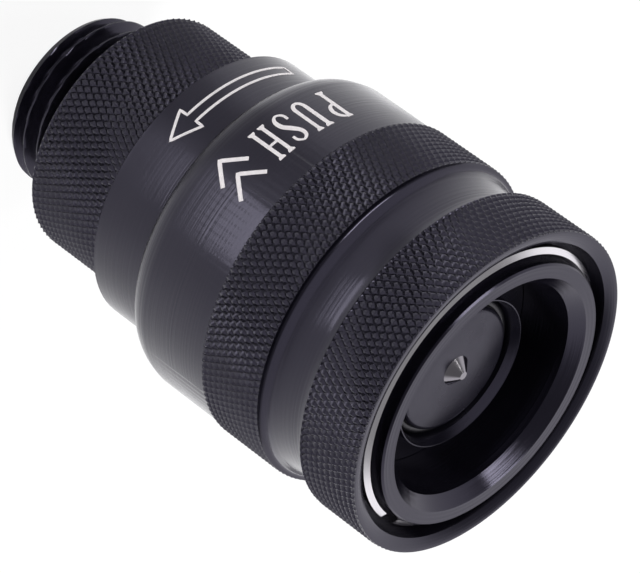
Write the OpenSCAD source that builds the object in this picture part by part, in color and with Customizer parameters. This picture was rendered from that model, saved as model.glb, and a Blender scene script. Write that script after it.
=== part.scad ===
// Quick coupling for liquid cooling: the socket half with a push sleeve.
// It stands on its threaded end. The axis is Z, the mouth is at the top.
// All sizes are in millimetres, and walls and steps are on the radius.

/* [Socket tube] */
// Bore that takes the plug
plug_bore_d = 16.1; // [15.8:0.1:17.4]
// Wall of the tube around the bore
tube_wall = 1.86; // [1.8:0.01:1.95]
// Width of the sloped lead-in at the mouth
lead_in_w = 0.81; // [0.3:0.01:0.9]
// Depth of the lead-in
lead_in_len = 0.83; // [0.4:0.01:1.2]
// Step from the tube out to the smooth body band
band_step = 0.39; // [0.3:0.01:0.6]
// Length of the body band that stays in sight
band_len = 4.7; // [4:0.1:8]
// How far the tube is turned down under the sleeve's spring
spring_recess = 0.6; // [0.5:0.01:0.7]
// Depth from the mouth to the shoulder that stops the valve sleeve
shoulder_depth = 8.85; // [8.6:0.05:9.6]
// Width of the shoulder that stops the valve sleeve
shoulder_w = 0.25; // [0.2:0.01:0.3]
// Wall of the body band around the adapter's spigot
rear_wall = 1.5; // [1.2:0.05:1.6]

/* [Release sleeve] */
// Wall of the sleeve under its knurled grips, over the body band
sleeve_wall = 1.87; // [1.75:0.01:2.4]
// Length of the front grip, from the end of the tube
front_grip_len = 5.25; // [4.8:0.05:7]
// How far the sleeve's lip stands behind the end of the tube
lip_depth = 0.27; // [0.2:0.01:0.4]
// Length of the sloped outer edge of the lip
lip_len = 0.15; // [0.1:0.05:0.5]
// Width of the sloped outer edge of the lip
lip_slope = 0.1; // [0.05:0.01:0.15]
// Width of the bevel inside the lip
lip_bevel_w = 0.55; // [0.3:0.05:0.6]
// Depth of the bevel inside the lip
lip_bevel_h = 0.27; // [0.2:0.01:0.4]
// Wall of the sleeve behind its lip
mouth_wall = 1.05; // [0.9:0.05:1.1]
// Length of the smooth waist between the grips
waist_len = 4; // [3:0.1:6]
// Depth of the waist below the grips
waist_depth = 0.95; // [0.5:0.05:1]
// Length of the rear grip
rear_grip_len = 5.35; // [4.5:0.05:8]
// Length of the smooth band that carries the arrows
arrow_band_len = 5.6; // [4.5:0.1:8]
// Depth of the smooth band below the grips
arrow_band_depth = 0.2; // [0.1:0.05:0.4]
// Length of the rounded rear shoulder
round_len = 2; // [1.5:0.1:3]
// Length of the thin rim behind the shoulder
tail_rim_len = 0.3; // [0.2:0.05:0.6]
// Wall of the thin rim
tail_wall = 0.28; // [0.2:0.02:0.5]
// How far the sleeve's skirt covers the body at rest
skirt_cover = 3.7; // [3:0.1:5]
// How far the sleeve springs forward when a plug frees the balls
lock_travel = 1.3; // [1.2:0.05:1.6]
// How far the sleeve can be pushed back from where the balls hold it
release_travel = 1.6; // [1.2:0.1:2]

/* [Locking balls] */
// Diameter of a locking ball
ball_d = 2.4; // [2.3:0.05:2.6]
// Number of locking balls
ball_count = 6; // [4:1:8]
// How far a locked ball stands into the bore
ball_inset = 0.35; // [0.25:0.01:0.4]

/* [Retaining ring] */
// How far the retaining ring stands out of the tube
ring_stand = 0.66; // [0.56:0.02:0.9]
// Thickness of the retaining ring
ring_t = 0.65; // [0.5:0.05:0.9]
// Depth of the ring's front edge below the mouth
ring_depth = 0.85; // [0.6:0.05:1.1]
// Opening of the ring, in degrees
ring_gap = 10; // [6:1:30]
// Angle of the middle of the opening, in degrees
ring_gap_at = 2; // [-180:1:180]

/* [Valve] */
// Clearance around the valve sleeve's nose
nose_gap = 0.05; // [0.03:0.01:0.1]
// Width of the annular face around the rim
annulus_w = 2.4; // [2:0.05:2.6]
// Wall of the valve sleeve's raised rim
rim_wall = 0.33; // [0.25:0.01:0.4]
// Height of the rim above the annular face
rim_h = 2.17; // [1.6:0.01:2.4]
// How far the rim stands above the valve head
rim_proud = 0.47; // [0.2:0.01:0.6]
// Gap around the valve head, in which its O-ring shows
head_gap = 0.6; // [0.5:0.02:0.7]
// Depth of the valve head's face below the mouth
head_depth = 3.25; // [3.15:0.05:3.6]
// Height of the centre pip on the valve head
pip_h = 0.7; // [0.4:0.1:0.9]
// Diameter of the centre pip at its foot
pip_d = 2.2; // [1.6:0.1:3]
// Diameter of the valve stem's shaft
shaft_d = 4; // [3.6:0.1:5]
// Length of the valve sleeve's guided rear part
guide_len = 4; // [3.6:0.1:5]
// How far a plug pushes the valve sleeve back
valve_travel = 5; // [4:0.1:6]

/* [Rear adapter] */
// Outside diameter of the thread
thread_d = 13.16; // [12.6:0.02:13.6]
// Length of the threaded end, from the collar
thread_len = 5.45; // [5:0.05:9]
// Length of the chamfer at the thread's end
thread_chamfer = 0.9; // [0.5:0.1:1]
// Wall between the thread and the bore for the coolant
thread_wall = 1.98; // [1.6:0.02:2.6]
// Step from the body band in to the knurled collar
collar_step = 1.2; // [0.8:0.05:1.4]
// Length of the knurled collar
collar_len = 7.65; // [6:0.05:10]

/* [Seals and springs] */
// Wire diameter of the sleeve's spring
sleeve_wire_d = 0.6; // [0.5:0.02:0.7]
// Turns of the sleeve's spring
sleeve_turns = 7; // [5:0.5:8]
// Wire diameter of the valve's spring
valve_wire_d = 0.8; // [0.6:0.02:0.9]
// Turns of the valve's spring
valve_turns = 4.5; // [4:0.5:6]
// How far the valve's spring lies inside the bore around it
valve_spring_inset = 1.4; // [1.3:0.05:1.8]
// Section of the O-ring on the thread
thread_seal_d = 1.8; // [1.5:0.05:2]
// Section of the O-ring between the adapter and the body
body_seal_d = 0.8; // [0.6:0.02:0.9]
// Section of the O-ring around the valve sleeve
sleeve_seal_d = 1; // [0.8:0.02:1.1]
// Section of the O-ring around the valve head
head_seal_d = 0.8; // [0.7:0.02:0.9]

/* [Hidden] */
BALLS = [for (i = [1:ball_count]) str("locking_ball_", i)];

$fn = 96;
// Clearances: a sliding fit, faces that meet, a seal in its groove
slide_fit = 0.08;
face_gap = 0.05;
seal_fit = 0.02;
// How far a cutting shape runs past the face that it cuts
over = 1;

// Radii from the bore outwards
bore_r = plug_bore_d / 2;
tube_r = bore_r + tube_wall;
band_r = tube_r + band_step;
spring_seat_r = tube_r - spring_recess;
skirt_in_r = band_r + slide_fit;
grip_r = skirt_in_r + sleeve_wall;
mouth_r = grip_r - mouth_wall;
tail_r = skirt_in_r + tail_wall;
flange_in_r = tube_r + slide_fit;
ring_bite = 0.35;
ring_in_r = tube_r - ring_bite;
spigot_r = band_r - rear_wall;
collar_r = band_r - collar_step;

// Radii from the bore inwards
nose_r = bore_r - nose_gap;
rim_r = nose_r - annulus_w;
valve_in_r = rim_r - rim_wall;
head_r = valve_in_r - head_gap;
valve_bore_r = bore_r + shoulder_w;
guide_fit = 0.07;
guide_r = valve_bore_r - guide_fit;
valve_spring_r = valve_bore_r - valve_spring_inset;
flow_r = thread_d / 2 - thread_wall;

// Heights up the axis, from the threaded end to the mouth
collar_top = thread_len + collar_len;
sleeve_tail = collar_top + band_len;
grips_len = front_grip_len + waist_len + rear_grip_len;
round_depth = grips_len + arrow_band_len;
sleeve_len = round_depth + round_len + tail_rim_len;
mouth = sleeve_tail + sleeve_len;
band_top = sleeve_tail + skirt_cover;

// Inside of the release sleeve, as depths below the mouth. With no plug in the
// bore, the valve's nose holds the balls out and the balls hold the sleeve back.
ball_r = ball_d / 2;
ring_back = ring_depth + ring_t;
ring_thin = 0.3;
front_flange = ring_back + lock_travel + face_gap;
front_flange_t = 1.1;
front_flange_end = front_flange + front_flange_t;
ball_room = 0.15;
ball_depth = front_flange_end + release_travel + ball_room + ball_r;
land_cover = 0.6;
rear_flange = ball_depth + lock_travel + land_cover;
rear_flange_t = 1;
spring_face = rear_flange + rear_flange_t;

// The sleeve's land locks the balls in, its relief lets them rise, and its ramp
// lies between the two and touches the balls at rest
ball_at_r = nose_r + face_gap + ball_r;
locked_at_r = bore_r - ball_inset + ball_r;
ball_lift = 0.15;
land_r = locked_at_r + ball_r + face_gap;
relief_r = ball_at_r + ball_r + ball_lift + face_gap;
ramp_angle = 20;
touch_r = ball_at_r + (ball_r + face_gap) * cos(ramp_angle);
touch_depth = ball_depth + (ball_r + face_gap) * sin(ramp_angle);
ramp_start = touch_depth + (touch_r - land_r) / tan(ramp_angle);
ramp_end = touch_depth - (relief_r - touch_r) / tan(ramp_angle);

// Valve sleeve, as depths below the mouth
rim_top = head_depth - rim_proud;
annulus_depth = rim_top + rim_h;
guide_top = shoulder_depth + face_gap;
guide_bottom = guide_top + guide_len;
spring_pocket = 1;
valve_seal_depth = (guide_top + guide_bottom - spring_pocket) / 2;
valve_seal_r = valve_bore_r - 0.03 - sleeve_seal_d / 2;

// Stem spider, clamped between the spigot and a step in the body: it stands
// where the valve's spring still has room when the valve is fully open
spring_solid = valve_wire_d * (valve_turns + 1) + 0.1;
spider_t = 1.2;
spider_top = mouth - guide_bottom + spring_pocket - valve_travel - spring_solid;
spigot_top = spider_top - spider_t;
hub_r = 2.9;
arm_w = 1.8;
arm_count = 3;
stud_r = 1.5;
stud_out = 2.6;
stud_len = spider_t + stud_out;

// Valve head and its O-ring
head_round = 0.35;
head_rim = 0.4;
head_seal_r = head_seal_d / 2;
head_seal_at_r = valve_in_r - seal_fit - head_seal_r;
head_seal_depth = head_depth + head_rim + seal_fit + head_seal_r;
backing_w = 0.12;
backing_t = 0.3;
cone_len = 3.1;

// O-ring of the thread, sunk into the collar
seal_sink = 0.3;
thread_seal_bite = 1;
thread_seal_in_r = thread_d / 2 - thread_seal_bite;

// Height of a point that lies a given depth below the mouth
function at(depth) = mouth - depth;

// Height along a spring whose first and last turns lie nearly flat
function coil_z(t, turns, wire, len) =
    let (flat = wire * 1.04, rise = (len - 2 * flat) / (turns - 2))
    t < 1 ? flat * t
    : t > turns - 1 ? len - flat * (turns - t)
    : flat + rise * (t - 1);

// A round ring that lies across the axis
module o_ring(at_r, section_r, z) {
    translate([0, 0, z])
    rotate_extrude()
    translate([at_r, 0])
    circle(r = section_r, $fn = 32);
}

// A coil spring between two heights
module spring(mid_r, wire, turns, z0, z1) {
    steps = 20;
    sides = 8;
    rings = ceil(turns * steps);
    wire_r = wire / 2;
    points = [for (i = [0:rings], k = [0:sides - 1])
        let (t = turns * i / rings,
             r = mid_r + wire_r * cos(360 * k / sides),
             climb = coil_z(t, turns, wire, z1 - z0 - wire),
             z = z0 + wire_r + climb + wire_r * sin(360 * k / sides))
        [r * cos(360 * t), r * sin(360 * t), z]];
    skin = [for (i = [0:rings - 1], k = [0:sides - 1])
        let (a = i * sides + k, b = i * sides + (k + 1) % sides)
        [a, b, b + sides, a + sides]];
    first_cap = [for (k = [sides - 1:-1:0]) k];
    last_cap = [for (k = [0:sides - 1]) rings * sides + k];
    polyhedron(points, concat(skin, [first_cap, last_cap]), convexity = 10);
}

module rear_adapter() {
    edge = 0.15;
    crest_slope = 0.53;
    groove_end = thread_len + seal_sink - thread_seal_d - 0.1;
    seat_r = thread_seal_in_r + thread_seal_d + 0.07;
    flare = 1.4;
    wide_len = 7;
    wide_r = flow_r + flare;
    wide_from = spigot_top - wide_len;
    color([0.13, 0.13, 0.15])
    rotate_extrude()
    polygon([
        [flow_r, 0],
        [thread_d / 2 - crest_slope, 0],
        [thread_d / 2, thread_chamfer],
        [thread_d / 2, groove_end],
        [thread_seal_in_r, groove_end],
        [thread_seal_in_r, thread_len + seal_sink],
        [seat_r, thread_len + seal_sink],
        [seat_r, thread_len],
        [collar_r - edge, thread_len],
        [collar_r, thread_len + edge],
        [collar_r, collar_top - edge],
        [collar_r - edge, collar_top],
        [spigot_r, collar_top],
        [spigot_r, spigot_top],
        [wide_r, spigot_top],
        [wide_r, wide_from],
        [flow_r, wide_from - flare]]);
}

module thread_o_ring() {
    seal_r = thread_seal_d / 2;
    color([0.05, 0.05, 0.05])
    o_ring(thread_seal_in_r + seal_r, seal_r, thread_len + seal_sink - seal_r);
}

module body_o_ring() {
    seal_r = body_seal_d / 2;
    color([0.05, 0.05, 0.05])
    o_ring(spigot_r + seal_fit + seal_r, seal_r, collar_top + seal_r);
}

// The hole for one ball, narrow at the bore so that the ball can't fall in
module ball_hole() {
    lip = 0.1;
    shelf_r = bore_r + lip;
    drop = locked_at_r - shelf_r - seal_fit;
    rotate([0, 90, 0])
    union() {
        translate([0, 0, bore_r - over])
        cylinder(r = sqrt(ball_r * ball_r - drop * drop), h = lip + 2 * over, $fn = 48);
        translate([0, 0, shelf_r])
        cylinder(r = ball_r + face_gap, h = tube_wall + over, $fn = 48);
    }
}

module socket_body() {
    edge = 0.12;
    groove_r = ring_in_r - seal_fit;
    groove_back = ring_back + seal_fit;
    groove_front = ring_back - ring_thin - seal_fit;
    spring_room = spring_face - 0.2;
    seal_room_r = spigot_r + body_seal_d + face_gap;
    seal_room_top = collar_top + body_seal_d + face_gap;
    spigot_room_r = spigot_r + 0.1;
    difference() {
        color([0.13, 0.13, 0.15])
        rotate_extrude()
        polygon([
            [spigot_room_r, seal_room_top],
            [seal_room_r, seal_room_top],
            [seal_room_r, collar_top],
            [band_r - edge, collar_top],
            [band_r, collar_top + edge],
            [band_r, band_top],
            [spring_seat_r, band_top],
            [spring_seat_r, at(spring_room)],
            [tube_r, at(spring_room)],
            [tube_r, at(groove_back)],
            [groove_r, at(groove_back)],
            [groove_r, at(groove_front)],
            [tube_r, at(groove_front)],
            [tube_r, at(edge)],
            [tube_r - edge, at(0)],
            [bore_r + lead_in_w, at(0)],
            [bore_r, at(lead_in_len)],
            [bore_r, at(shoulder_depth)],
            [valve_bore_r, at(shoulder_depth)],
            [valve_bore_r, spider_top + seal_fit],
            [spigot_room_r, spider_top + seal_fit]]);
        for (i = [1:ball_count])
            rotate([0, 0, 360 * i / ball_count])
            translate([0, 0, at(ball_depth)])
            ball_hole();
    }
}

// A bevelled ring: thin in its groove, thick outside
module retaining_ring() {
    outer_r = tube_r + ring_stand;
    bevel_w = 0.4;
    bevel_h = 0.2;
    color([0.8, 0.8, 0.82])
    rotate([0, 0, ring_gap_at + ring_gap / 2])
    rotate_extrude(angle = 360 - ring_gap)
    polygon([
        [ring_in_r, at(ring_back)],
        [outer_r, at(ring_back)],
        [outer_r, at(ring_depth + bevel_h)],
        [outer_r - bevel_w, at(ring_depth)],
        [tube_r, at(ring_back - ring_thin)],
        [ring_in_r, at(ring_back - ring_thin)]]);
}

module release_sleeve() {
    arrow_r = grip_r - arrow_band_depth;
    // Steps down from the grips into the waist
    waist_step = 0.25;
    waist_low = 0.32 * waist_len;
    waist_end = front_grip_len + waist_len;
    // The rounded shoulder starts with a slight crease
    crease = 12;
    color([0.13, 0.13, 0.15])
    rotate_extrude()
    polygon(concat(
        [[mouth_r, at(lip_depth + lip_bevel_h)],
         [mouth_r + lip_bevel_w, at(lip_depth)],
         [grip_r - lip_slope, at(lip_depth)],
         [grip_r, at(lip_depth + lip_len)],
         [grip_r, at(front_grip_len)]],
        // A steep curve into the waist, then a long rise to the rear grip
        [for (a = [15:15:90])
            [grip_r - waist_step - (waist_depth - waist_step) * sin(a),
             at(front_grip_len + waist_low * (1 - cos(a)))]],
        [for (a = [11.25:11.25:90])
            [grip_r - waist_step - (waist_depth - waist_step) * cos(a),
             at(front_grip_len + waist_low + (waist_len - waist_low) * sin(a))]],
        [[grip_r, at(waist_end)],
         [grip_r, at(grips_len)],
         [arrow_r, at(grips_len)]],
        [for (i = [0:8])
            let (a = crease + (90 - crease) * i / 8)
            [tail_r + (arrow_r - tail_r) * cos(a) / cos(crease),
             at(round_depth + round_len * (sin(a) - sin(crease)) / (1 - sin(crease)))]],
        [[tail_r, sleeve_tail],
         [skirt_in_r, sleeve_tail],
         [skirt_in_r, at(spring_face)],
         [flange_in_r, at(spring_face)],
         [flange_in_r, at(rear_flange)],
         [land_r, at(rear_flange)],
         [land_r, at(ramp_start)],
         [relief_r, at(ramp_end)],
         [relief_r, at(front_flange_end)],
         [flange_in_r, at(front_flange_end)],
         [flange_in_r, at(front_flange)],
         [mouth_r, at(front_flange)]]));
}

module sleeve_spring() {
    color([0.7, 0.7, 0.72])
    spring(skirt_in_r - slide_fit - sleeve_wire_d / 2, sleeve_wire_d, sleeve_turns,
        band_top + seal_fit, at(spring_face) - seal_fit);
}

module locking_ball(i) {
    color([0.75, 0.75, 0.78])
    rotate([0, 0, 360 * i / ball_count])
    translate([ball_at_r, 0, at(ball_depth)])
    sphere(r = ball_r, $fn = 48);
}

module valve_stem() {
    groove_r = head_seal_at_r - head_seal_r - seal_fit;
    backing_r = valve_in_r - backing_w;
    backing = head_seal_depth + head_seal_r + seal_fit;
    tip_r = 0.3;
    color([0.13, 0.13, 0.15])
    rotate_extrude()
    polygon(concat(
        [[0, at(head_depth - pip_h)],
         [tip_r, at(head_depth - pip_h)],
         [pip_d / 2, at(head_depth)]],
        [for (a = [0:22.5:90])
            [head_r - head_round * (1 - sin(a)), at(head_depth + head_round * (1 - cos(a)))]],
        [[head_r, at(head_depth + head_rim)],
         [groove_r, at(head_depth + head_rim)],
         [groove_r, at(backing)],
         [backing_r, at(backing)],
         [backing_r, at(backing + backing_t)],
         [shaft_d / 2, at(backing + backing_t + cone_len)],
         [shaft_d / 2, spider_top],
         [stud_r, spider_top],
         [stud_r, spider_top - stud_len],
         [0, spider_top - stud_len]]));
}

module stem_o_ring() {
    color([0.05, 0.05, 0.05])
    o_ring(head_seal_at_r, head_seal_r, at(head_seal_depth));
}

// A ring with a hub on three arms: the coolant passes between them
module stem_spider() {
    window_gap = 0.25;
    window_r = valve_spring_r - valve_wire_d - window_gap;
    color([0.6, 0.6, 0.62])
    translate([0, 0, spigot_top])
    difference() {
        cylinder(r = spigot_r, h = spider_t);
        difference() {
            translate([0, 0, -over])
            cylinder(r = window_r, h = spider_t + 2 * over);
            translate([0, 0, -2 * over])
            cylinder(r = hub_r, h = spider_t + 4 * over);
            for (i = [1:arm_count])
                rotate([0, 0, 360 * i / arm_count])
                translate([0, -arm_w / 2, -2 * over])
                cube([spigot_r, arm_w, spider_t + 4 * over]);
        }
        translate([0, 0, -over])
        cylinder(r = stud_r + face_gap, h = spider_t + 2 * over);
    }
}

module stem_nut() {
    across_flats = 5.5;
    nut_h = 1.8;
    color([0.7, 0.7, 0.72])
    translate([0, 0, spigot_top - nut_h])
    difference() {
        cylinder(d = across_flats / cos(30), h = nut_h, $fn = 6);
        translate([0, 0, -over])
        cylinder(r = stud_r + seal_fit, h = nut_h + 2 * over, $fn = 48);
    }
}

module valve_sleeve() {
    groove_r = valve_seal_r - sleeve_seal_d / 2 - seal_fit;
    groove_gap = 0.1;
    groove_half = sleeve_seal_d / 2 + groove_gap;
    pocket_gap = 0.1;
    pocket_r = valve_spring_r + pocket_gap;
    // The rim is bevelled inside to a thin crest
    bevel_len = 0.6;
    crest_w = 0.07;
    color([0.13, 0.13, 0.15])
    rotate_extrude()
    polygon([
        [rim_r - crest_w, at(rim_top)],
        [rim_r, at(rim_top)],
        [rim_r, at(annulus_depth)],
        [nose_r, at(annulus_depth)],
        [nose_r, at(guide_top)],
        [guide_r, at(guide_top)],
        [guide_r, at(valve_seal_depth - groove_half)],
        [groove_r, at(valve_seal_depth - groove_half)],
        [groove_r, at(valve_seal_depth + groove_half)],
        [guide_r, at(valve_seal_depth + groove_half)],
        [guide_r, at(guide_bottom)],
        [pocket_r, at(guide_bottom)],
        [pocket_r, at(guide_bottom - spring_pocket)],
        [valve_in_r, at(guide_bottom - spring_pocket)],
        [valve_in_r, at(rim_top + bevel_len)]]);
}

module valve_sleeve_o_ring() {
    color([0.05, 0.05, 0.05])
    o_ring(valve_seal_r, sleeve_seal_d / 2, at(valve_seal_depth));
}

module valve_spring() {
    color([0.7, 0.7, 0.72])
    spring(valve_spring_r - valve_wire_d / 2, valve_wire_d, valve_turns,
        spider_top + seal_fit, at(guide_bottom - spring_pocket) - seal_fit);
}

rear_adapter();
thread_o_ring();
body_o_ring();
socket_body();
retaining_ring();
release_sleeve();
sleeve_spring();
valve_stem();
stem_o_ring();
stem_spider();
stem_nut();
valve_sleeve();
valve_sleeve_o_ring();
valve_spring();
for (i = [1:ball_count])
    locking_ball(i);
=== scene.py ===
"""Quick coupling for liquid cooling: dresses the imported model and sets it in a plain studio."""

import math

import bpy
import numpy as np
from mathutils import Matrix, Vector

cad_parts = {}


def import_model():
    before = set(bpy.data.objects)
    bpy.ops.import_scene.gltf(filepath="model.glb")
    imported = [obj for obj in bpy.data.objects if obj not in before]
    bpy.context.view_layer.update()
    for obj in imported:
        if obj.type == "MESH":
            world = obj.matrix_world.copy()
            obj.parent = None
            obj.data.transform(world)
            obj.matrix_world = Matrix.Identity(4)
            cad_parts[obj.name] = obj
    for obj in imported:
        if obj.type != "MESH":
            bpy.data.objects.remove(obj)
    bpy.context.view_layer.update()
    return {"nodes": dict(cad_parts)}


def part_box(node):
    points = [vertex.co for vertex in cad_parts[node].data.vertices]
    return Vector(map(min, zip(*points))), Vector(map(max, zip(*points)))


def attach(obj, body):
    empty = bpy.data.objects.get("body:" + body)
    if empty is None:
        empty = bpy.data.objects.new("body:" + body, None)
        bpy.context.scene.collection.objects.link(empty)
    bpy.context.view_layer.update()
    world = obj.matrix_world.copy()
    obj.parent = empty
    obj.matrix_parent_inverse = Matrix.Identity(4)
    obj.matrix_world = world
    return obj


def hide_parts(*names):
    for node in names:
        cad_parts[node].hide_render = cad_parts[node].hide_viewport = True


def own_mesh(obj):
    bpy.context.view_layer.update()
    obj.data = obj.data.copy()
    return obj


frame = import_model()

MM = 0.001
MICRON = 0.000001
nodes = frame["nodes"]


# ---------------------------------------------------------------- sizes, in mm

def box_mm(node):
    """Radius, lowest and highest point of a turned CAD node, in millimetres."""
    low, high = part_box(node)
    return high.x / MM, low.z / MM, high.z / MM


GRIP_R, TAIL, LIP_TOP = box_mm("release_sleeve")
COLLAR_R, THREAD_END, SPIGOT_TOP = box_mm("rear_adapter")
BAND_R, COLLAR_TOP, MOUTH = box_mm("socket_body")
THREAD_SEAL_LOW, THREAD_SEAL_TOP = box_mm("thread_o_ring")[1:]

EDGE = 0.07             # small bevel of most corners

# Release sleeve, outside: lengths down from the mouth, steps in from the grips
MOUTH_WALL = 1.05
LIP_LEN = 0.15
LIP_SLOPE = 0.1
LIP_BEVEL_W = 0.55
LIP_BEVEL_H = 0.27
FRONT_GRIP_LEN = 5.25
WAIST_LEN = 4.0
WAIST_DEPTH = 0.95
WAIST_STEP = 0.25
WAIST_LOW_AT = 0.32     # where it is narrowest, as a share of its length
REAR_GRIP_LEN = 5.35
ARROW_BAND_LEN = 5.6
ARROW_BAND_DEPTH = 0.2
ROUND_LEN = 2.0
ROUND_CREASE = 12       # degrees off upright where the band's round starts
ROUND_STEPS = 12
TAIL_WALL = 0.28

# Release sleeve, inside: depths below the mouth
SLIDE_FIT = 0.08
FLANGE_IN_R = 9.99
LAND_R = 10.15
RELIEF_R = 10.65
FRONT_FLANGE = 2.85
FRONT_FLANGE_END = 3.95
RAMP_END = 6.71
RAMP_START = 8.08
REAR_FLANGE = 8.8
SPRING_FACE = 9.8

# Rear adapter
THREAD_R = 6.58
THREAD_PITCH = 1.337
THREAD_DEPTH = 0.8
THREAD_CREST = 0.1      # share of half a turn that the crest takes, and the root too
THREAD_ROWS = 22        # rows of mesh to a turn
THREAD_CHAMFER = 0.9
CREST_DROP = 0.53
SEAL_SEAT_R = 5.58
SEAL_ROOM_R = 7.45
SEAL_BITE = 0.3
SEAL_GAP = 0.1
THREAD_LEN = THREAD_SEAL_TOP - SEAL_BITE
THREAD_STOP = THREAD_SEAL_LOW - SEAL_GAP
COLLAR_EDGE = 0.15
FLOW_R = 4.6
WIDE_R = 6.0
WIDE_LEN = 7
WIDE_FROM = SPIGOT_TOP - WIDE_LEN
SPIGOT_R = 8.8

# Valve head and stem
SPIDER_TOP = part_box("stem_spider")[1].z / MM
STUD_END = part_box("valve_stem")[0].z / MM
BACKING_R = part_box("valve_stem")[1].x / MM
HEAD_SEAL_LOW, HEAD_SEAL_TOP = box_mm("stem_o_ring")[1:]
SEAL_PLAY = 0.02
SEAL_TOP = HEAD_SEAL_TOP + SEAL_PLAY
SEAL_BOTTOM = HEAD_SEAL_LOW - SEAL_PLAY
SEAL_GROOVE_R = 4.43
HEAD_R = 4.67
HEAD_DEPTH = 3.25
HEAD_FACE = MOUTH - HEAD_DEPTH
HEAD_ROUND = 0.35
PIP_H = 0.7
PIP_R = 1.1
PIP_TIP_R = 0.3
HEAD_COLUMNS = 192
BACKING_T = 0.3
CONE_LEN = 3.1
SHAFT_R = 2.0
STUD_R = 1.5

# Knurl: diamonds with small domed tops
GRIP_DIAMONDS = 133
COLLAR_DIAMONDS = 99
KNURL_RISE = 1.0        # height of one diamond
KNURL_DEPTH = 0.2
KNURL_FLAT = 0.2        # share of half a diamond that its top takes
KNURL_STEPS = 6         # rows and columns of mesh to a diamond
KNURL_STEP = KNURL_RISE / KNURL_STEPS
KNURL_DOME = 0.05
KNURL_LEAN = 0.55       # how much shallower one set of grooves gets than the other
KNURL_LEAN_AT = 37.7
KNURL_LEAN_TURN = 0.31

# Printed markings
INK_T = 0.03
INK_SINK = 0.01
LAYER_SINK = 0.001      # keeps crossing strokes from sharing a face
LEGEND_DEPTH = 19.7
LETTER_H = 3.12
SERIF_H = 0.13
SERIF_END = 0.3
CHEVRON_AZIMUTH = 9.2
CHEVRON_TOPS = (3.0, 1.28)
CHEVRON_H = 1.53
CHEVRON_HALF = 1.29
CHEVRON_STROKE = 0.3
ARROW_AZIMUTH = 38
ARROW_DEPTH = 25.05
ARROW_STROKE = 0.2


# ------------------------------------------------------------------ mesh tools

SHARP_ANGLE = math.radians(28)


def add_object(name, data):
    """A new object in the scene."""
    piece = bpy.data.objects.new(name, data)
    bpy.context.scene.collection.objects.link(piece)
    return piece


def new_piece(name, points, faces, material, body):
    """A shaded mesh piece from points in millimetres, riding on a body."""
    mesh = bpy.data.meshes.new(name)
    mesh.from_pydata((np.asarray(points) * MM).tolist(), [], faces)
    mesh.validate()
    mesh.materials.append(material)
    mesh.shade_smooth()
    mesh.set_sharp_from_angle(angle=SHARP_ANGLE)
    piece = add_object(name, mesh)
    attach(piece, body)
    return piece


def plain_rows(points):
    """Rows of an outline that no texture cuts, from (radius, height) points."""
    return [(radius, height, None) for radius, height in points]


def arc(centre, radii, start, stop, steps):
    """Points along part of an ellipse, from one angle to another, in degrees."""
    angles = np.radians(np.linspace(start, stop, steps))
    return [(centre[0] + radii[0] * math.cos(a), centre[1] + radii[1] * math.sin(a))
            for a in angles]


def fine_rows(radius, start, stop, step, kind):
    """Rows of an outline between two heights, on a grid of that step."""
    low, high = min(start, stop), max(start, stop)
    inner = np.arange(math.floor(low / step) + 1, math.ceil(high / step)) * step
    margin = 0.2 * step
    inner = [z for z in inner if z - low > margin and high - z > margin]
    heights = [low, *inner, high]
    if start > stop:
        heights.reverse()
    return [(radius(z) if callable(radius) else radius, z, kind) for z in heights]


def knurl_phase(angle, z, columns):
    """Where a point lies across the two sets of grooves, in whole grooves."""
    around = angle / (2 * math.pi) * columns / KNURL_STEPS
    along = z / KNURL_RISE
    return around + along, around - along


def groove(phase):
    """1 in the middle of a groove, 0 halfway between two."""
    return 1 - 2 * np.abs(phase - np.round(phase))


def knurl_cut(angle, z, columns):
    """Depth of the knurl below the tops of its slightly domed pads.

    One set of grooves is deeper in some places and the other set in others, as
    a knurling wheel leaves them.
    """
    first, second = knurl_phase(angle, z, columns)
    lean = np.sin(2 * angle - (z - KNURL_LEAN_AT) * KNURL_LEAN_TURN)
    cuts = []
    for phase, side in ((first, -lean), (second, lean)):
        share = np.clip((groove(phase) - KNURL_FLAT) / (1 - KNURL_FLAT), 0, 1)
        cuts.append(KNURL_DEPTH * (1 - KNURL_LEAN * np.maximum(side, 0)) * share
                    + KNURL_DOME * groove(phase) ** 2)
    return np.minimum(np.maximum(*cuts), KNURL_DEPTH)


def thread_cut(angle, z):
    """Depth of a right-hand thread with narrow crests, below its crests."""
    turn = z / THREAD_PITCH - angle / (2 * math.pi)
    share = (groove(turn) - THREAD_CREST) / (1 - 2 * THREAD_CREST)
    return THREAD_DEPTH * np.clip(share, 0, 1)


def row_points(radius, height, kind, angle, crests):
    """The points of one row, cut by its texture."""
    columns = len(angle)
    r = np.full(columns, float(radius))
    if kind == "knurl":
        r = np.minimum(r, crests[kind] - knurl_cut(angle, height, columns))
    if kind == "thread":
        r = np.minimum(r, crests[kind] - thread_cut(angle, height))
    return np.stack([r * np.cos(angle), r * np.sin(angle), np.full(columns, float(height))], 1)


def row_corners(i, j, columns):
    """The four corners of each face between rows i and j, in turning order."""
    column = np.arange(columns)
    beside = (column + 1) % columns
    return i * columns + column, i * columns + beside, j * columns + beside, j * columns + column


def knurl_triangles(corners, angle, height, next_height):
    """The faces between two rows of a knurl, each split along its groove."""
    a, b, c, d = corners
    columns = len(angle)
    middle = (height + next_height) / 2
    first, second = knurl_phase(angle + math.pi / columns, middle, columns)
    falling = (groove(first) > groove(second)) == (next_height > height)
    split = np.where(falling[:, None], np.stack([a, b, d, b, c, d], 1),
                     np.stack([a, b, c, a, c, d], 1))
    return split.reshape(-1, 3).tolist()


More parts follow.
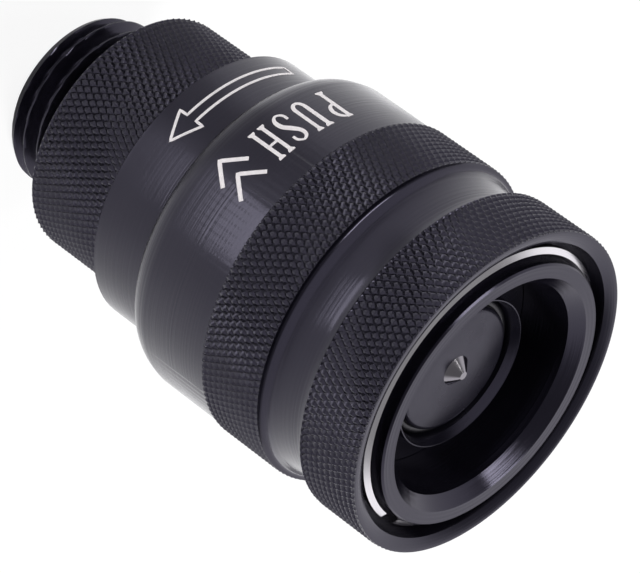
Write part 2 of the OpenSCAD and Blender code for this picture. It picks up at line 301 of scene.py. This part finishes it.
def turned(name, outline, columns, crests, material, body):
    """A solid of revolution from a closed outline of (radius, height, kind).

    Rows of kind "knurl" or "thread" are cut by their texture, below the radius
    that crests gives for it.
    """
    angle = np.arange(columns) * 2 * math.pi / columns
    points = np.concatenate([row_points(*row, angle, crests) for row in outline])
    faces = []
    for i, (_, height, kind) in enumerate(outline):
        j = (i + 1) % len(outline)
        _, next_height, next_kind = outline[j]
        corners = row_corners(i, j, columns)
        if kind == next_kind == "knurl":
            faces += knurl_triangles(corners, angle, height, next_height)
        else:
            faces += np.stack(corners, 1).tolist()
    return new_piece(name, points, faces, material, body)


# ------------------------------------------------------------------- materials

# Between these a noise counts as clear or cloudy
CLOUD_LOW, CLOUD_HIGH = 0.3, 0.7


class Nodes:
    """Short calls for building the nodes of one material or world."""

    def __init__(self, owner):
        owner.use_nodes = True
        self.owner = owner
        self.tree = owner.node_tree
        self.shader = self.tree.nodes.get("Principled BSDF")

    def add(self, kind, **settings):
        node = self.tree.nodes.new(kind)
        for key, value in settings.items():
            setattr(node, key, value)
        return node

    def link(self, source, target):
        self.tree.links.new(source, target)

    def math(self, operation, *values):
        node = self.add("ShaderNodeMath", operation=operation)
        for socket, value in zip(node.inputs, values):
            if isinstance(value, (int, float)):
                socket.default_value = value
            else:
                self.link(value, socket)
        return node.outputs[0]

    def axes(self, vector):
        parts = self.add("ShaderNodeSeparateXYZ")
        self.link(vector, parts.inputs[0])
        return parts.outputs

    def position(self):
        """The point on the object, in metres from its origin."""
        return self.add("ShaderNodeTexCoord").outputs["Object"]

    def noise(self, vector, scale, detail):
        node = self.add("ShaderNodeTexNoise")
        self.link(vector, node.inputs["Vector"])
        node.inputs["Scale"].default_value = scale
        node.inputs["Detail"].default_value = detail
        return node.outputs["Fac"]

    def lathe_lines(self, position, per_metre, detail):
        """Noise that changes only along the cut: rings on faces, lines round cylinders."""
        x, y, z = self.axes(position)
        squares = self.math("ADD", self.math("MULTIPLY", x, x), self.math("MULTIPLY", y, y))
        along = self.math("ADD", z, self.math("SQRT", squares))
        node = self.add("ShaderNodeTexNoise", noise_dimensions="1D")
        self.link(self.math("MULTIPLY", along, per_metre), node.inputs["W"])
        node.inputs["Scale"].default_value = 1
        node.inputs["Detail"].default_value = detail
        return node.outputs["Fac"]

    def spread(self, value, start, stop, low, high):
        """A soft step from low at start to high at stop."""
        node = self.add("ShaderNodeMapRange", interpolation_type="SMOOTHSTEP")
        self.link(value, node.inputs["Value"])
        ends = {"From Min": start, "From Max": stop, "To Min": low, "To Max": high}
        for name, number in ends.items():
            node.inputs[name].default_value = number
        return node.outputs["Result"]

    def gloss(self, clouds, roughness, swing):
        """Roughness that drifts with a noise by the swing, both ways."""
        drift = self.spread(clouds, CLOUD_LOW, CLOUD_HIGH, roughness - swing, roughness + swing)
        self.link(drift, self.shader.inputs["Roughness"])

    def blend(self, factor, first, second):
        """Two shader nodes mixed: the first where the factor is 0, the second where it is 1."""
        node = self.add("ShaderNodeMixShader")
        self.link(factor, node.inputs["Fac"])
        self.link(first.outputs[0], node.inputs[1])
        self.link(second.outputs[0], node.inputs[2])
        return node.outputs["Shader"]

    def colours(self, factor, low, high):
        """A base colour between two others."""
        node = self.add("ShaderNodeMix", data_type="RGBA")
        self.link(factor, node.inputs["Factor"])
        node.inputs["A"].default_value = (*low, 1)
        node.inputs["B"].default_value = (*high, 1)
        self.link(node.outputs["Result"], self.shader.inputs["Base Color"])

    def bump(self, height, distance, after=None):
        """Relief in the shading, on top of an earlier one where that is given."""
        node = self.add("ShaderNodeBump")
        node.inputs["Strength"].default_value = 1
        node.inputs["Distance"].default_value = distance
        self.link(height, node.inputs["Height"])
        if after:
            self.link(after, node.inputs["Normal"])
        self.link(node.outputs["Normal"], self.shader.inputs["Normal"])
        return node.outputs["Normal"]


def new_material(name):
    return Nodes(bpy.data.materials.new(name))


def black_finish(name, roughness, lines, grain):
    """Black plating on turned metal: fine lathe lines, a faint grain, cloudy gloss."""
    n = new_material(name)
    position = n.position()
    clouds = n.noise(position, scale=260, detail=3)
    n.colours(clouds, (0.003, 0.0026, 0.005), (0.0065, 0.006, 0.0095))
    n.gloss(clouds, roughness, swing=0.05)
    turning = n.bump(n.lathe_lines(position, per_metre=4200, detail=4), lines)
    n.bump(n.noise(position, scale=9000, detail=2), grain, turning)
    n.shader.inputs["IOR"].default_value = 1.49
    n.shader.inputs["Specular Tint"].default_value = (0.79, 0.75, 1.0, 1)
    return n.owner


def rubber(name):
    """Black seal rubber, a little glossy from its grease."""
    n = new_material(name)
    position = n.position()
    clouds = n.noise(position, scale=600, detail=3)
    n.colours(clouds, (0.004, 0.004, 0.0045), (0.01, 0.01, 0.011))
    n.gloss(clouds, 0.22, swing=0.06)
    n.bump(n.noise(position, scale=5000, detail=2), 2 * MICRON)
    return n.owner


def bright_metal(name, colour, roughness, per_metre, lines):
    """Bare steel with fine drawn or turned lines."""
    n = new_material(name)
    position = n.position()
    clouds = n.noise(position, scale=400, detail=3)
    n.colours(clouds, [0.92 * c for c in colour], colour)
    n.gloss(clouds, roughness, swing=0.04)
    n.bump(n.lathe_lines(position, per_metre, detail=2), lines)
    n.shader.inputs["Metallic"].default_value = 1
    return n.owner


def ink(name, colour):
    """Printed marking: nearly white, a little uneven."""
    n = new_material(name)
    position = n.position()
    n.colours(n.noise(position, scale=3000, detail=3), [0.9 * c for c in colour], colour)
    n.shader.inputs["Roughness"].default_value = 0.45
    n.bump(n.noise(position, scale=8000, detail=2), 2 * MICRON)
    return n.owner


BLACK_TURNED = black_finish("black_turned", 0.17, 14 * MICRON, 0.4 * MICRON)
BLACK_KNURLED = black_finish("black_knurled", 0.17, 14 * MICRON, 0.6 * MICRON)
BLACK_VALVE = black_finish("black_valve", 0.26, 2 * MICRON, 0.4 * MICRON)
RUBBER = rubber("seal_rubber")
RING_STEEL = bright_metal("ring_steel", (0.86, 0.85, 0.84), 0.2, 4000, 2 * MICRON)
SPRING_STEEL = bright_metal("spring_steel", (0.62, 0.62, 0.63), 0.28, 9000, MICRON)
PLAIN_STEEL = bright_metal("plain_steel", (0.6, 0.6, 0.61), 0.32, 6000, 2 * MICRON)
BALL_STEEL = bright_metal("ball_steel", (0.75, 0.75, 0.76), 0.12, 2000, 0.2 * MICRON)
POLISHED = bright_metal("polished_steel", (0.3, 0.29, 0.3), 0.1, 3000, 0.5 * MICRON)
WHITE_INK = ink("white_ink", (0.9, 0.86, 0.86))


# --------------------------------------------------------------- turned pieces

def waist_rows(top, bottom):
    """The hollow between the grips, narrowest near its upper end."""
    low = WAIST_LOW_AT * (top - bottom)
    centre = (GRIP_R - WAIST_STEP, top - low)
    curve = WAIST_DEPTH - WAIST_STEP
    points = arc(centre, (-curve, low), 90, 0, 8)
    points += arc(centre, (-curve, low - (top - bottom)), 0, 90, 10)[1:]
    return plain_rows(points)


def round_rows(band_r, tail_r, top):
    """The round that takes the smooth band in to the tail, after a crease."""
    crease = math.radians(ROUND_CREASE)
    points = []
    for i in range(ROUND_STEPS + 1):
        a = crease + (math.pi / 2 - crease) * i / ROUND_STEPS
        drop = (math.sin(a) - math.sin(crease)) / (1 - math.sin(crease))
        out = math.cos(a) / math.cos(crease)
        points.append((tail_r + (band_r - tail_r) * out, top - ROUND_LEN * drop))
    return plain_rows(points)


def sleeve_bore_rows(skirt_r, mouth_r):
    """The sleeve's inside, from the tail up: spring room, land, ramp and front flange."""
    inside = [(skirt_r, SPRING_FACE), (FLANGE_IN_R, SPRING_FACE), (FLANGE_IN_R, REAR_FLANGE),
              (LAND_R, REAR_FLANGE), (LAND_R, RAMP_START), (RELIEF_R, RAMP_END),
              (RELIEF_R, FRONT_FLANGE_END), (FLANGE_IN_R, FRONT_FLANGE_END),
              (FLANGE_IN_R, FRONT_FLANGE), (mouth_r, FRONT_FLANGE)]
    return plain_rows([(radius, MOUTH - depth) for radius, depth in inside])


def release_sleeve():
    """The sliding sleeve, with both knurled grips cut in."""
    skirt_r = BAND_R + SLIDE_FIT
    tail_r = skirt_r + TAIL_WALL
    mouth_r = GRIP_R - MOUTH_WALL
    band_r = GRIP_R - ARROW_BAND_DEPTH
    front_end = MOUTH - FRONT_GRIP_LEN
    waist_end = front_end - WAIST_LEN
    grips_end = waist_end - REAR_GRIP_LEN
    band_end = grips_end - ARROW_BAND_LEN

    outline = plain_rows([(mouth_r, LIP_TOP - LIP_BEVEL_H), (mouth_r + LIP_BEVEL_W, LIP_TOP),
                          (GRIP_R - LIP_SLOPE, LIP_TOP)])
    outline += fine_rows(GRIP_R, LIP_TOP - LIP_LEN, front_end + EDGE, KNURL_STEP, "knurl")
    outline += plain_rows([(GRIP_R - EDGE, front_end)])
    outline += waist_rows(front_end, waist_end)
    outline += plain_rows([(GRIP_R - EDGE, waist_end)])
    outline += fine_rows(GRIP_R, waist_end - EDGE, grips_end + EDGE, KNURL_STEP, "knurl")
    outline += plain_rows([(band_r, grips_end)])
    outline += round_rows(band_r, tail_r, band_end)
    outline += plain_rows([(tail_r, TAIL + EDGE), (tail_r - EDGE, TAIL), (skirt_r, TAIL)])
    outline += sleeve_bore_rows(skirt_r, mouth_r)
    piece = turned("knurled_sleeve", outline, GRIP_DIAMONDS * KNURL_STEPS, {"knurl": GRIP_R},
                   BLACK_KNURLED, "release")
    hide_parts("release_sleeve")


def thread_envelope(z):
    """Radius over the thread's crests, with the chamfer at its end."""
    return min(THREAD_R, THREAD_R - CREST_DROP * (1 - (z - THREAD_END) / THREAD_CHAMFER))


def rear_adapter():
    """The threaded adapter, with its knurled collar and pipe thread cut in."""
    outline = plain_rows([(FLOW_R + EDGE, THREAD_END)])
    outline += fine_rows(thread_envelope, THREAD_END, THREAD_STOP, THREAD_PITCH / THREAD_ROWS,
                         "thread")
    outline += plain_rows([(SEAL_SEAT_R, THREAD_STOP), (SEAL_SEAT_R, THREAD_SEAL_TOP),
                           (SEAL_ROOM_R, THREAD_SEAL_TOP), (SEAL_ROOM_R, THREAD_LEN),
                           (COLLAR_R - COLLAR_EDGE, THREAD_LEN)])
    outline += fine_rows(COLLAR_R, THREAD_LEN + COLLAR_EDGE, COLLAR_TOP - COLLAR_EDGE,
                         KNURL_STEP, "knurl")
    outline += plain_rows([(COLLAR_R - COLLAR_EDGE, COLLAR_TOP), (SPIGOT_R, COLLAR_TOP),
                           (SPIGOT_R, SPIGOT_TOP), (WIDE_R, SPIGOT_TOP), (WIDE_R, WIDE_FROM),
                           (FLOW_R, WIDE_FROM - (WIDE_R - FLOW_R)), (FLOW_R, THREAD_END + EDGE)])
    crests = {"knurl": COLLAR_R, "thread": THREAD_R}
    piece = turned("threaded_adapter", outline, COLLAR_DIAMONDS * KNURL_STEPS, crests,
                   BLACK_KNURLED, "housing")
    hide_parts("rear_adapter")


def valve_head():
    """The fixed valve head with its pip, its O-ring groove, shaft and stud."""
    cone_top = SEAL_BOTTOM - BACKING_T
    points = [(0.0, HEAD_FACE + PIP_H), (PIP_TIP_R, HEAD_FACE + PIP_H), (PIP_R, HEAD_FACE)]
    points += arc((HEAD_R - HEAD_ROUND, HEAD_FACE - HEAD_ROUND), (HEAD_ROUND, HEAD_ROUND), 90, 0, 9)
    points += [(HEAD_R, SEAL_TOP), (SEAL_GROOVE_R, SEAL_TOP), (SEAL_GROOVE_R, SEAL_BOTTOM),
               (BACKING_R, SEAL_BOTTOM), (BACKING_R, cone_top), (SHAFT_R, cone_top - CONE_LEN),
               (SHAFT_R, SPIDER_TOP), (STUD_R, SPIDER_TOP), (STUD_R, STUD_END), (0.0, STUD_END)]
    piece = turned("valve_head", plain_rows(points), HEAD_COLUMNS, {}, BLACK_VALVE, "housing")
    piece.data.materials.append(POLISHED)
    for face in piece.data.polygons:
        if face.center.z > (HEAD_FACE + PIP_H / 4) * MM:
            face.material_index = 1
    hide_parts("valve_stem")


def coil(name):
    """A copy of a spring in spring steel, riding on the housing."""
    piece = add_object(name + "_coil", nodes[name].data.copy())
    piece.matrix_world = nodes[name].matrix_world
    piece.data.materials.clear()
    piece.data.materials.append(SPRING_STEEL)
    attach(piece, "housing")
    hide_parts(name)
    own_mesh(piece)


# -------------------------------------------------------------------- markings

# Longest steps of a straight stroke, so that it follows the band
COARSE_RUN = 0.2
FINE_RUN = 0.15


def smooth_path(knots, steps=6):
    """A smooth curve through (x, y, width) knots (Catmull-Rom)."""
    k = np.array([knots[0], *knots, knots[-1]], float)
    path = []
    for i in range(len(knots) - 1):
        before, start, stop, after = k[i:i + 4]
        for t in np.arange(steps) / steps:
            path.append(0.5 * (2 * start + (stop - before) * t
                               + (2 * before - 5 * start + 4 * stop - after) * t ** 2
                               + (3 * start - before - 3 * stop + after) * t ** 3))
    path.append(k[-1])
    return [tuple(point) for point in path]


def split_path(knots, longest=COARSE_RUN):
    """Straight runs between (x, y, width) knots, split into short steps."""
    path = [knots[0]]
    for start, stop in zip(knots, knots[1:]):
        count = max(1, math.ceil(math.dist(start[:2], stop[:2]) / longest))
        for i in range(1, count + 1):
            path.append(tuple(a + (b - a) * i / count for a, b in zip(start, stop)))
    return path


def ribbon(path, place, depth_of_ink, closed=False):
    """Points and faces of a thin closed strip along a path, laid on a cylinder.

    place turns (x, y, height) into a point; x runs along the band, y up the axis.
    """
    flat = np.array([point[:2] for point in path])
    width = np.array([point[2] for point in path])
    if closed:
        run = np.roll(flat, -1, 0) - np.roll(flat, 1, 0)
    else:
        run = np.gradient(flat, axis=0)
    run /= np.linalg.norm(run, axis=1)[:, None]
    side = np.stack([-run[:, 1], run[:, 0]], 1) * width[:, None] / 2
    points = []
    for left, right in zip(flat + side, flat - side):
        points += [place(*left, 0), place(*right, 0),
                   place(*right, depth_of_ink), place(*left, depth_of_ink)]
    count = len(path)
    faces = []
    for i in range(count if closed else count - 1):
        a, b = 4 * i, 4 * ((i + 1) % count)
        faces += [(a + k, a + (k + 1) % 4, b + (k + 1) % 4, b + k) for k in range(4)]
    if not closed:
        last = 4 * (count - 1)
        faces += [(3, 2, 1, 0), (last, last + 1, last + 2, last + 3)]
    return points, faces


def marking(name, strokes, radius, azimuth, height, body, closed=False):
    """Strokes printed on a band; azimuth counts from the front towards -X."""
    points, faces = [], []
    for layer, stroke in enumerate(strokes):
        sink = INK_SINK + LAYER_SINK * layer

        def place(x, y, out):
            a = math.radians(azimuth) - x / radius
            r = radius - sink + out
            return (-r * math.sin(a), -r * math.cos(a), height + y)

        new_points, new_faces = ribbon(stroke, place, INK_T, closed)
        faces += [[len(points) + corner for corner in face] for face in new_faces]
        points += new_points
    return new_piece(name, points, faces, WHITE_INK, body)


def half_stem(x, end, middle, width, serif):
    """Knots of an upright stroke from its flared end towards its middle."""
    inwards = math.copysign(1, middle - end)
    return [(x, end, serif), (x, end + SERIF_H * inwards, serif),
            (x, end + SERIF_END * inwards, width)]


def stem(x, width, foot, head):
    """An upright stroke of a letter, with flared ends of the given widths."""
    middle = LETTER_H / 2
    knots = half_stem(x, 0, middle, width, foot)
    knots += reversed(half_stem(x, LETTER_H, middle, width, head))
    return split_path(knots, FINE_RUN)


def letter_p():
    bowl = [(-0.25 + 0.68 * math.cos(a), 2.25 + 0.75 * math.sin(a),
             0.14 + 0.18 * max(0, math.cos(a)))
            for a in np.radians(np.linspace(96, -96, 22))]
    return [stem(-0.3, 0.33, 0.66, 0.5), bowl]


def letter_u():
    middle = 0.68
    bottom = [(0.42 * math.sin(a), middle - 0.58 * math.cos(a), 0.22 + 0.08 * abs(math.sin(a)))
              for a in np.radians(np.linspace(-84, 84, 19))]
    left = [*half_stem(-0.42, LETTER_H, middle, 0.33, 0.6), (-0.42, middle, 0.31)]
    right = [*half_stem(0.42, LETTER_H, middle, 0.27, 0.5), (0.42, middle, 0.28)]
    return [split_path(left, FINE_RUN)[:-1] + bottom + split_path(right[::-1], FINE_RUN)[1:]]


def letter_s():
    knots = [(0.44, 2.28, 0.2), (0.4, 2.7, 0.2), (0.05, 2.98, 0.17), (-0.33, 2.72, 0.26),
             (-0.36, 2.2, 0.33), (-0.02, 1.66, 0.38), (0.35, 1.1, 0.36), (0.36, 0.45, 0.28),
             (0.0, 0.11, 0.17), (-0.4, 0.38, 0.2), (-0.45, 0.86, 0.2)]
    return [smooth_path(knots)]


def letter_h():
    bar = split_path([(-0.45, 1.74, 0.2), (0.45, 1.74, 0.2)])
    return [stem(-0.42, 0.27, 0.54, 0.54), stem(0.42, 0.27, 0.54, 0.54), bar]


def chevron(top):
    """One chevron that points down, from the height of its two ends."""
    knots = [(-CHEVRON_HALF, top), (0, top - CHEVRON_H), (CHEVRON_HALF, top)]
    return [split_path([(x, y, CHEVRON_STROKE) for x, y in knots])]


def push_legend():
    """PUSH and two chevrons that point the way the sleeve slides."""
    band_r = GRIP_R - ARROW_BAND_DEPTH
    foot = MOUTH - LEGEND_DEPTH
    letters = (("p", letter_p, 49.8), ("u", letter_u, 40.5),
               ("s", letter_s, 32.1), ("h", letter_h, 24.0))
    for name, strokes, azimuth in letters:
        marking("legend_" + name, strokes(), band_r, azimuth, foot, "release")
    for number, top in enumerate(CHEVRON_TOPS, 1):
        marking(f"chevron_{number}", chevron(top), band_r, CHEVRON_AZIMUTH, foot, "release")


def flow_arrow():
    """A plain outlined arrow along the body band."""
    corners = [(-5.6, -0.42), (3.6, -0.42), (3.6, -1.1), (5.7, 0),
               (3.6, 1.1), (3.6, 0.42), (-5.6, 0.42)]
    path = split_path([(x, y, ARROW_STROKE) for x, y in [*corners, corners[0]]])[:-1]
    marking("flow_arrow", [path], BAND_R, ARROW_AZIMUTH, MOUTH - ARROW_DEPTH, "housing",
            closed=True)


release_sleeve()
rear_adapter()
valve_head()
coil("sleeve_spring")
coil("valve_spring")
push_legend()
flow_arrow()

FINISHES = {
    "socket_body": BLACK_TURNED,
    "valve_sleeve": BLACK_VALVE,
    "thread_o_ring": RUBBER,
    "body_o_ring": RUBBER,
    "stem_o_ring": RUBBER,
    "valve_sleeve_o_ring": RUBBER,
    "retaining_ring": RING_STEEL,
    "stem_spider": PLAIN_STEEL,
    "stem_nut": PLAIN_STEEL,
}
for node_name, node in nodes.items():
    finish = BALL_STEEL if node_name.startswith("locking_ball") else FINISHES.get(node_name)
    if finish:
        for material_slot in node.material_slots:
            material_slot.material = finish


# ---------------------------------------------------------------------- studio

COOL_WHITE = (0.95, 0.93, 1.0)
FLOOR_SIZE = 3000
FLOOR_SEEN = 0.9        # share of pure white that the camera sees in the floor
FLOOR_MIRRORED = 0.1    # the same share in reflections
SOFT_LIGHT = 0.28       # what the surroundings shed on surfaces
HORIZON = 1.1           # their brightness to the camera and in reflections
CEILING = 0.25
HORIZON_TOP, CEILING_EDGE = 0.55, 0.78      # heights of a direction of length 1
CARD_LIFT = 0.5


def floor():
    """A plain pale floor."""
    half = FLOOR_SIZE / 2
    corners = [(-half, -half, 0), (half, -half, 0), (half, half, 0), (-half, half, 0)]
    mesh = bpy.data.meshes.new("floor")
    mesh.from_pydata([Vector(corner) * MM for corner in corners], [], [(0, 1, 2, 3)])
    n = new_material("floor_paper")
    n.shader.inputs["Base Color"].default_value = (0.9, 0.9, 0.9, 1)
    n.shader.inputs["Roughness"].default_value = 0.9
    n.shader.inputs["Specular IOR Level"].default_value = 0.1
    paths = n.add("ShaderNodeLightPath").outputs
    mirrored = n.math("MAXIMUM", paths["Is Glossy Ray"], paths["Is Transmission Ray"])
    share = n.math("MAXIMUM", n.math("MULTIPLY", paths["Is Camera Ray"], FLOOR_SEEN),
                   n.math("MULTIPLY", mirrored, FLOOR_MIRRORED))
    surface = n.blend(share, n.shader, n.add("ShaderNodeEmission"))
    n.link(surface, n.tree.nodes["Material Output"].inputs["Surface"])
    mesh.materials.append(n.owner)
    add_object("floor", mesh)


def world():
    """Soft even light, white to the camera and in reflections, with a dark ceiling."""
    surroundings = bpy.data.worlds.new("studio")
    bpy.context.scene.world = surroundings
    n = Nodes(surroundings)
    paths = n.add("ShaderNodeLightPath").outputs
    seen = paths["Is Camera Ray"]
    for kind in ("Is Glossy Ray", "Is Transmission Ray"):
        seen = n.math("MAXIMUM", seen, paths[kind])
    direction = n.add("ShaderNodeTexCoord").outputs["Generated"]
    sky = n.spread(n.axes(direction)["Z"], HORIZON_TOP, CEILING_EDGE, HORIZON, CEILING)
    level = n.add("ShaderNodeMapRange")
    level.inputs["To Min"].default_value = SOFT_LIGHT
    n.link(seen, level.inputs["Value"])
    n.link(sky, level.inputs["To Max"])
    background = n.tree.nodes["Background"]
    background.inputs["Color"].default_value = (*COOL_WHITE, 1)
    n.link(level.outputs["Result"], background.inputs["Strength"])


def area_light(name, size, watts):
    """A rectangular lamp that the camera doesn't see, still to be placed."""
    light = bpy.data.lights.new(name, "AREA")
    light.shape = "RECTANGLE"
    light.size, light.size_y = size[0] * MM, size[1] * MM
    light.energy = watts
    piece = add_object(name, light)
    piece.visible_camera = False
    return piece


def lamp(name, azimuth, elevation, distance, size, watts, mirrored):
    """A soft lamp that faces the middle of the object, mirrored in its surfaces or not."""
    a, e = math.radians(azimuth), math.radians(elevation)
    towards = Vector((math.sin(a) * math.cos(e), -math.cos(a) * math.cos(e), math.sin(e)))
    piece = area_light(name, size, watts)
    piece.location = (Vector((0, 0, MOUTH / 2)) + towards * distance) * MM
    piece.rotation_euler = (-towards).to_track_quat("-Z", "Y").to_euler()
    piece.visible_glossy = mirrored


def floor_card(name, x, y, size, watts):
    """A small bright card on the floor in front, for the streaks down the sides."""
    piece = area_light(name, size, watts)
    piece.location = Vector((x, y, CARD_LIFT)) * MM
    piece.rotation_euler = (math.pi, 0, 0)


def camera():
    """The photograph's view: from in front and above, rolled on its side."""
    elevation, roll = math.radians(30.82), math.radians(126.08)
    distance = 294.38
    aim = Vector((0, 0, 39.84))
    aim_right, aim_down = 10.796, 6.879
    forward = Vector((0, math.cos(elevation), -math.sin(elevation)))
    level_right = Vector((1, 0, 0))
    level_up = level_right.cross(forward)
    right = level_right * math.cos(roll) + level_up * math.sin(roll)
    up = right.cross(forward)
    place = aim - right * aim_right + up * aim_down - forward * distance
    data = bpy.data.cameras.new("camera")
    data.sensor_width = 36
    data.lens = 255.15
    data.clip_start, data.clip_end = 0.01, 10
    piece = add_object("camera", data)
    rotation = Matrix((right, up, -forward)).transposed().to_4x4()
    piece.matrix_world = Matrix.Translation(place * MM) @ rotation
    bpy.context.scene.camera = piece


floor()
world()
lamp("key_lamp", 140, 30, 700, (190, 190), 7.0, mirrored=False)
lamp("fill_lamp", -142, 35, 700, (190, 190), 1.8, mirrored=False)
lamp("strip_lamp", -54, 52, 300, (165, 60), 0.3, mirrored=True)
floor_card("near_card", 5.9, -50, (30, 22), 0.006)
floor_card("far_card", 15, -78, (46, 12), 0.004)
camera()
bpy.context.scene.view_settings.view_transform = "Standard"
